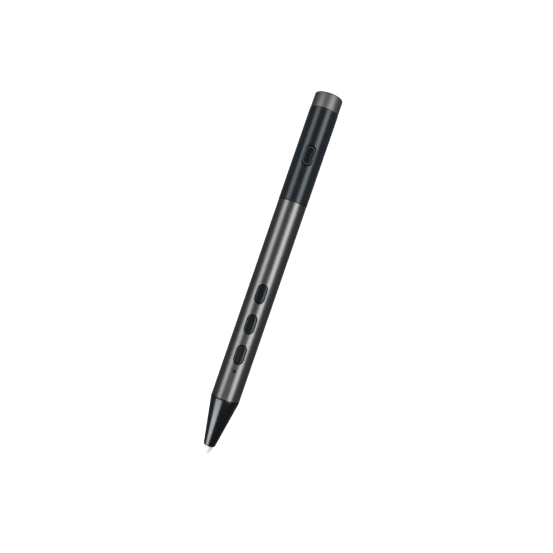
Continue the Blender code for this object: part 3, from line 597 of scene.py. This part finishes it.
# ---- casing --------------------------------------------------------------------------------------
def make_nose_cone():
    """A tapered shell with a collar, a hole for the nozzle and a spigot that goes into the barrel."""
    collar_end = BARREL_START - SEAM
    collar_start = collar_end - COLLAR_LENGTH
    spigot_end = high_of("nose_cone").x
    slope = (SLEEVE_RADIUS - CONE_END_RADIUS) / (collar_start - CONE_START)
    hollow_start = CONE_START + 5.1
    hollow_radius = CONE_END_RADIUS + slope * (hollow_start - CONE_START) - CONE_WALL
    hole_end = hollow_start - 1.2
    bore_start = collar_end - 2.6
    profile = [
        (CONE_START, NOZZLE_HOLE_RADIUS, 0.06),
        (CONE_START, CONE_END_RADIUS, 0.36),
        (collar_start, SLEEVE_RADIUS, 0.5),
        (collar_end, SLEEVE_RADIUS, EDGE),
        (collar_end, SPIGOT_RADIUS, 0),
        (spigot_end, SPIGOT_RADIUS, 0.15),
        (spigot_end, CONE_BORE, 0.1),
        (bore_start, CONE_BORE, 0.4),
        (hollow_start, hollow_radius, 0.3),
        (hole_end, NOZZLE_HOLE_RADIUS, 0),
    ]
    dress(lathe("nose_cone_shell", profile), "nose_cone", "casing", "black_gloss")


def make_nozzle():
    """A blunt round-nosed tip whose side is one long arc, with a shank behind it."""
    shoulder = CONE_START + 2.9
    shank_end = high_of("nozzle").x
    melt_hole_end = 2.2
    bore_start = 3.0
    profile = [(0, MELT_HOLE, 0.06), (0, TIP_FLAT, 0.05)]
    for degrees in range(138, 89, -4):
        angle = math.radians(degrees)
        station = TIP_LENGTH + TIP_CURVE * math.cos(angle)
        profile.append((station, NOZZLE_RADIUS + TIP_CURVE * (math.sin(angle) - 1), 0))
    profile += [
        (shoulder, NOZZLE_RADIUS, 0.1),
        (shoulder, SHANK_RADIUS, 0),
        (shank_end, SHANK_RADIUS, 0.15),
        (shank_end, NOZZLE_BORE, 0.1),
        (bore_start, NOZZLE_BORE, 0),
        (melt_hole_end, MELT_HOLE, 0),
    ]
    nozzle = lathe("ceramic_nozzle", profile, steps=SMALL_LATHE_STEPS)
    dress(nozzle, "nozzle", "casing", "ceramic")


def make_barrel():
    """The tube, with a slot for each of its three keys and a hole for the light pipe."""
    profile = [
        (BARREL_START, BARREL_BORE, BORE_EDGE),
        (BARREL_START, BARREL_RADIUS, EDGE),
        (BARREL_END, BARREL_RADIUS, EDGE),
        (BARREL_END, BARREL_BORE, BORE_EDGE),
    ]
    barrel = lathe("barrel_tube", profile)
    cutters = []
    for key in KEYS:
        station = middle_of(f"{key}_button").x
        cutters.append(tube_opening(f"{key}_slot", KEY_SLOT, BARREL_RADIUS, station, KEY_SLOT_RIM))
    station = middle_of("light_pipe").x
    hole = (LIGHT_HOLE, LIGHT_HOLE)
    cutters.append(tube_opening("light_hole", hole, BARREL_RADIUS, station, LIGHT_HOLE_RIM))
    cut(barrel, cutters)
    true_round(barrel, BARREL_RADIUS)
    dress(barrel, "barrel", "casing", "gunmetal")


def make_upper_sleeve():
    """The satin tube behind the barrel, with a spigot in front and a slot for the power key's bezel."""
    start = BARREL_END + SEAM
    spigot_start = low_of("upper_sleeve").x
    bore_start = start + 0.6
    profile = [
        (spigot_start, SLEEVE_SPIGOT_BORE, 0.1),
        (spigot_start, SPIGOT_RADIUS, 0.15),
        (start, SPIGOT_RADIUS, 0),
        (start, SLEEVE_RADIUS, 0.2),
        (SLEEVE_END, SLEEVE_RADIUS, EDGE),
        (SLEEVE_END, SLEEVE_BORE, BORE_EDGE),
        (bore_start, SLEEVE_BORE, 0),
        (start, SLEEVE_SPIGOT_BORE, 0),
    ]
    sleeve = lathe("sleeve_tube", profile)
    cut(sleeve, [tube_opening("power_slot", POWER_SLOT, SLEEVE_RADIUS, middle_of("power_bezel").x)])
    true_round(sleeve, SLEEVE_RADIUS)
    dress(sleeve, "upper_sleeve", "casing", "black_satin")


def make_tail_cap():
    """A cup with a rounded rim, open at the filament inlet and the charging port."""
    start = SLEEVE_END + SEAM
    spigot_start = low_of("tail_cap").x
    wall_start = LENGTH - CAP_END_WALL
    profile = [
        (spigot_start, CAP_BORE, 0.1),
        (spigot_start, CAP_SPIGOT_RADIUS, 0.15),
        (start, CAP_SPIGOT_RADIUS, 0),
        (start, CAP_RADIUS, EDGE),
        (LENGTH, CAP_RADIUS, 0.75),
        (LENGTH, 0, 0),
        (wall_start, 0, 0),
        (wall_start, CAP_BORE, 0.2),
    ]
    cap = lathe("tail_cap_shell", profile)
    inlet_place = tailwards(middle_of("inlet_bush").y)
    port_place = tailwards(middle_of("socket_shell").y)
    inside = LENGTH - 3  # well inside the end wall
    inlet_size = (2 * INLET_RADIUS, 2 * INLET_RADIUS)
    cutters = [
        opening("inlet_opening", inlet_size, inside, LENGTH, inlet_place),
        opening("port_opening", PORT_OPENING, inside, LENGTH, port_place, edge=PORT_RIM),
    ]
    cut(cap, cutters)
    dress(cap, "tail_cap", "casing", "gunmetal_cap")


# ---- keys and openings ---------------------------------------------------------------------------
def key_rows(size, flange_reach, node, crown, bevel):
    """A key's flange, its straight sides, a softened bevel and a crown that falls away across the pen."""
    underside = low_of(node).z
    top = high_of(node).z
    soft = 0.05
    ease = 0.3 * soft
    ring_step = 0.25
    ring_limit = size[1] / 2 - 0.3
    least_half_width = 0.02
    flange = grown(size, flange_reach)
    rows = [
        (flange, underside, None),
        (flange, underside + KEY_FLANGE, None),
        (size, underside + KEY_FLANGE, None),
        (size, top - bevel - soft, crown),
        (grown(size, -ease), top - bevel, crown),
        (grown(size, -bevel), top - ease, crown),
        (grown(size, -bevel - soft), top, crown),
    ]
    inset = bevel + soft
    while inset < ring_limit:
        inset += ring_step
        rows.append((grown(size, -inset), top, crown))
    rows.append((grown(size, least_half_width - size[1] / 2), top, crown))
    return rows


def make_keys():
    size = grown(KEY_SLOT, -KEY_GAP)
    for key in KEYS:
        node = f"{key}_button"
        rows = key_rows(size, KEY_FLANGE_REACH, node, KEY_CROWN, KEY_BEVEL)
        cap = loft(f"{key}_key_cap", rows, upwards(middle_of(node).x))
        dress(cap, node, f"{key}_key", "button_black")


def make_power_bezel():
    """A dished ring in the sleeve: its raised lip goes round the window, with a painted highlight on top."""
    level = SLEEVE_RADIUS
    bottom = 5.15
    outer = grown(POWER_SLOT, -0.08)
    # Each outline with its steps: how far it grows, and how far it rises above the sleeve.
    edges = [
        (outer, ((0, -0.62), (-0.03, -0.59))),
        (POWER_LIP, ((0.05, -0.03), (0.02, 0.05), (-0.05, 0.08), (-0.17, 0.08), (-0.24, 0.05))),
        (POWER_LIP, ((-0.28, -0.01), (-0.33, -0.20), (-0.37, -0.25))),
        (POWER_WINDOW, ((0.06, -0.29), (0.02, -0.31), (0, -0.40))),
    ]
    rows = [(outer, bottom, None)]
    for size, steps in edges:
        rows += [(grown(size, by), level + rise, level) for by, rise in steps]
    rows.append((POWER_WINDOW, bottom, None))
    bezel = loft("power_bezel_ring", rows, upwards(middle_of("power_bezel").x), closed=True)
    dress(bezel, "power_bezel", "casing", "black_satin")
    # The lip's top gets a lighter colour of its own: a painted highlight that stands in for the light along
    # the ring.
    painted_lip_highlight = make_finish("painted_lip_highlight", (0.038, 0.047, 0.056), roughness=0.35)
    bezel.data.materials.append(painted_lip_highlight.material)
    lip_top = (level + 0.03) * MM
    for face in bezel.data.polygons:
        offsets = [bezel.data.vertices[v].co - ORIGIN for v in face.vertices]
        if all(math.hypot(offset.y, offset.z) > lip_top for offset in offsets):
            # Faces standing above the sleeve's surface take the painted highlight.
            face.material_index = 1


def make_power_key():
    size = grown(POWER_WINDOW, -POWER_GAP)
    node = "power_button"
    rows = key_rows(size, POWER_FLANGE_REACH, node, POWER_CROWN, POWER_BEVEL)
    cap = loft("power_key_cap", rows, upwards(middle_of("power_bezel").x))
    dress(cap, node, "power_key", "button_black")


def make_light_pipe():
    """A rod with a rounded top edge."""
    low, high = low_of("light_pipe"), high_of("light_pipe")
    width = high.y - low.y
    size = (width, width)
    fillet = 0.12
    rows = [(size, low.z, None)]
    for degrees in range(0, 91, 15):
        angle = math.radians(degrees)
        outline = grown(size, -fillet * (1 - math.cos(angle)))
        rows.append((outline, high.z - fillet * (1 - math.sin(angle)), None))
    rod = loft("light_pipe_rod", rows, upwards(middle_of("light_pipe").x))
    dress(rod, "light_pipe", "casing", "light_pipe")


def make_socket_shell():
    """A drawn metal tube, pill-shaped across, with a rounded mouth."""
    low, high = low_of("socket_shell"), high_of("socket_shell")
    wall = 0.3
    mouth = 0.1
    soft = 0.03
    outer = (high.z - low.z, high.y - low.y)
    inner = grown(outer, -wall)
    rows = [
        (outer, low.x, None),
        (outer, high.x - mouth, None),
        (grown(outer, -soft), high.x - soft, None),
        (grown(outer, -mouth), high.x, None),
        (grown(inner, mouth), high.x, None),
        (grown(inner, soft), high.x - soft, None),
        (inner, high.x - mouth, None),
        (inner, low.x, None),
    ]
    shell = loft("socket_tube", rows, tailwards(middle_of("socket_shell").y), closed=True)
    dress(shell, "socket_shell", "casing", "steel")


def make_inlet_bush():
    """A ring with a flared mouth for the filament."""
    low, middle, high = low_of("inlet_bush"), middle_of("inlet_bush"), high_of("inlet_bush")
    outer = radius_of("inlet_bush")
    bore = 1.0
    mouth = 1.45
    flare = 0.9
    profile = [
        (low.x, bore, 0.05),
        (low.x, outer, 0.1),
        (high.x, outer, 0.1),
        (high.x, mouth, 0.12),
        (high.x - flare, bore, 0.6),
    ]
    bush = lathe("inlet_ferrule", profile, at=(middle.y, middle.z), steps=SMALL_LATHE_STEPS)
    dress(bush, "inlet_bush", "casing", "black_gloss")


def finish_cad_nodes():
    """Every CAD node takes its slot's finish. Those that no new piece replaces keep their CAD shape."""
    for row in frame["record"]["subparts"]:
        obj = frame["nodes"][row["node"]]
        obj.data.materials.clear()
        obj.data.materials.append(finishes[row["material_slot"]])
        if not obj.hide_render:
            shade(obj.data)


# ---- studio --------------------------------------------------------------------------------------
def add_light(name, angle, middle, size, radiance):
    """A soft box beside the pen. angle is in degrees, at the pen, from straight up towards -Y. middle is the
    x of its middle, and size is (length along the pen, width), all in mm."""
    data = bpy.data.lights.new(name, "AREA")
    data.shape = "RECTANGLE"
    data.size = size[0] * MM
    data.size_y = size[1] * MM
    data.energy = radiance * math.pi * data.size * data.size_y
    lamp = bpy.data.objects.new(name, data)
    turn = math.radians(angle)
    lamp.location = (
        middle * MM,
        -LIGHT_DISTANCE * MM * math.sin(turn),
        ORIGIN.z + LIGHT_DISTANCE * MM * math.cos(turn),
    )
    lamp.rotation_euler = (turn, 0, 0)
    bpy.context.scene.collection.objects.link(lamp)
    return lamp


def light_only(lamp, names):
    """Keeps a lamp's light to the objects named."""
    receivers = bpy.data.collections.new(f"{lamp.name}_receivers")
    for name in names:
        receivers.objects.link(bpy.data.objects[name])
    lamp.light_linking.receiver_collection = receivers


def make_floor():
    """A pale floor that curves up into a wall all round. Its sizes are in metres."""
    reach = 1.6
    height = 1.6
    bend = 0.5
    bend_steps = 12
    profile = [(0.0, 0.0), (reach - bend, 0.0)]
    for k in range(1, bend_steps + 1):
        angle = math.pi / 2 * k / bend_steps
        profile.append((reach - bend + bend * math.sin(angle), bend - bend * math.cos(angle)))
    profile.append((reach, height))
    shape = bmesh.new()
    rings = []
    for r, z in profile:
        count = SMALL_LATHE_STEPS if r else 1
        angles = [2 * math.pi * k / SMALL_LATHE_STEPS for k in range(count)]
        rings.append([shape.verts.new((r * math.cos(a), r * math.sin(a), z)) for a in angles])
    joined_rings(shape, rings, closed=False)
    floor = finish_mesh("studio_floor", shape)
    floor.visible_glossy = False
    finish = Finish("studio_paper")
    grain = finish.noise(2.0, detail=4.0)
    dark = (0.41, 0.41, 0.41)
    light = (0.43, 0.43, 0.43)
    finish.set(
        Base_Color=finish.mix(finish.spread(grain, 0.0, 1.0), dark, light),
        Roughness=0.9,
        Specular_IOR_Level=0.0,
        Emission_Color=(1.0, 1.0, 1.0),
        Emission_Strength=0.75,
    )
    floor.data.materials.append(finish.material)


def make_studio():
    """Two long boxes for the strips along the pen, one for the strip on the cone, and a faint fill."""
    add_light("left_box", angle=-48.3, middle=25.0, size=(350.0, 165.0), radiance=3.2)
    nose_box = add_light("nose_box", angle=-45.0, middle=-295.0, size=(170.0, 290.0), radiance=16.5)
    add_light("right_box", angle=36.4, middle=50.0, size=(420.0, 165.0), radiance=4.3)
    add_light("fill_box", angle=-8.0, middle=-135.0, size=(130.0, 110.0), radiance=0.5)
    make_floor()
    light_only(nose_box, ("nose_cone_shell", "ceramic_nozzle", "studio_floor"))
    world = bpy.data.worlds.new("studio_air")
    bpy.context.scene.world = world
    world.use_nodes = True
    background = world.node_tree.nodes["Background"]
    background.inputs["Color"].default_value = (0.95, 0.98, 1.0, 1.0)
    background.inputs["Strength"].default_value = 0.17


def make_camera():
    """A camera that looks straight down, turned about its own axis."""
    data = bpy.data.cameras.new("camera")
    data.lens = CAMERA_LENS
    data.sensor_width = 36.0
    data.clip_start = 0.01
    data.clip_end = 20.0
    camera = bpy.data.objects.new("camera", data)
    camera.location = (CAMERA_AT[0] * MM, CAMERA_AT[1] * MM, ORIGIN.z + CAMERA_HEIGHT * MM)
    camera.rotation_euler = (0, 0, math.radians(CAMERA_TURN))
    bpy.context.scene.collection.objects.link(camera)
    bpy.context.scene.camera = camera
    bpy.context.scene.view_settings.view_transform = "Standard"


make_nose_cone()
make_nozzle()
make_barrel()
make_upper_sleeve()
make_tail_cap()
make_keys()
make_power_bezel()
make_power_key()
make_light_pipe()
make_socket_shell()
make_inlet_bush()
finish_cad_nodes()
make_studio()
make_camera()
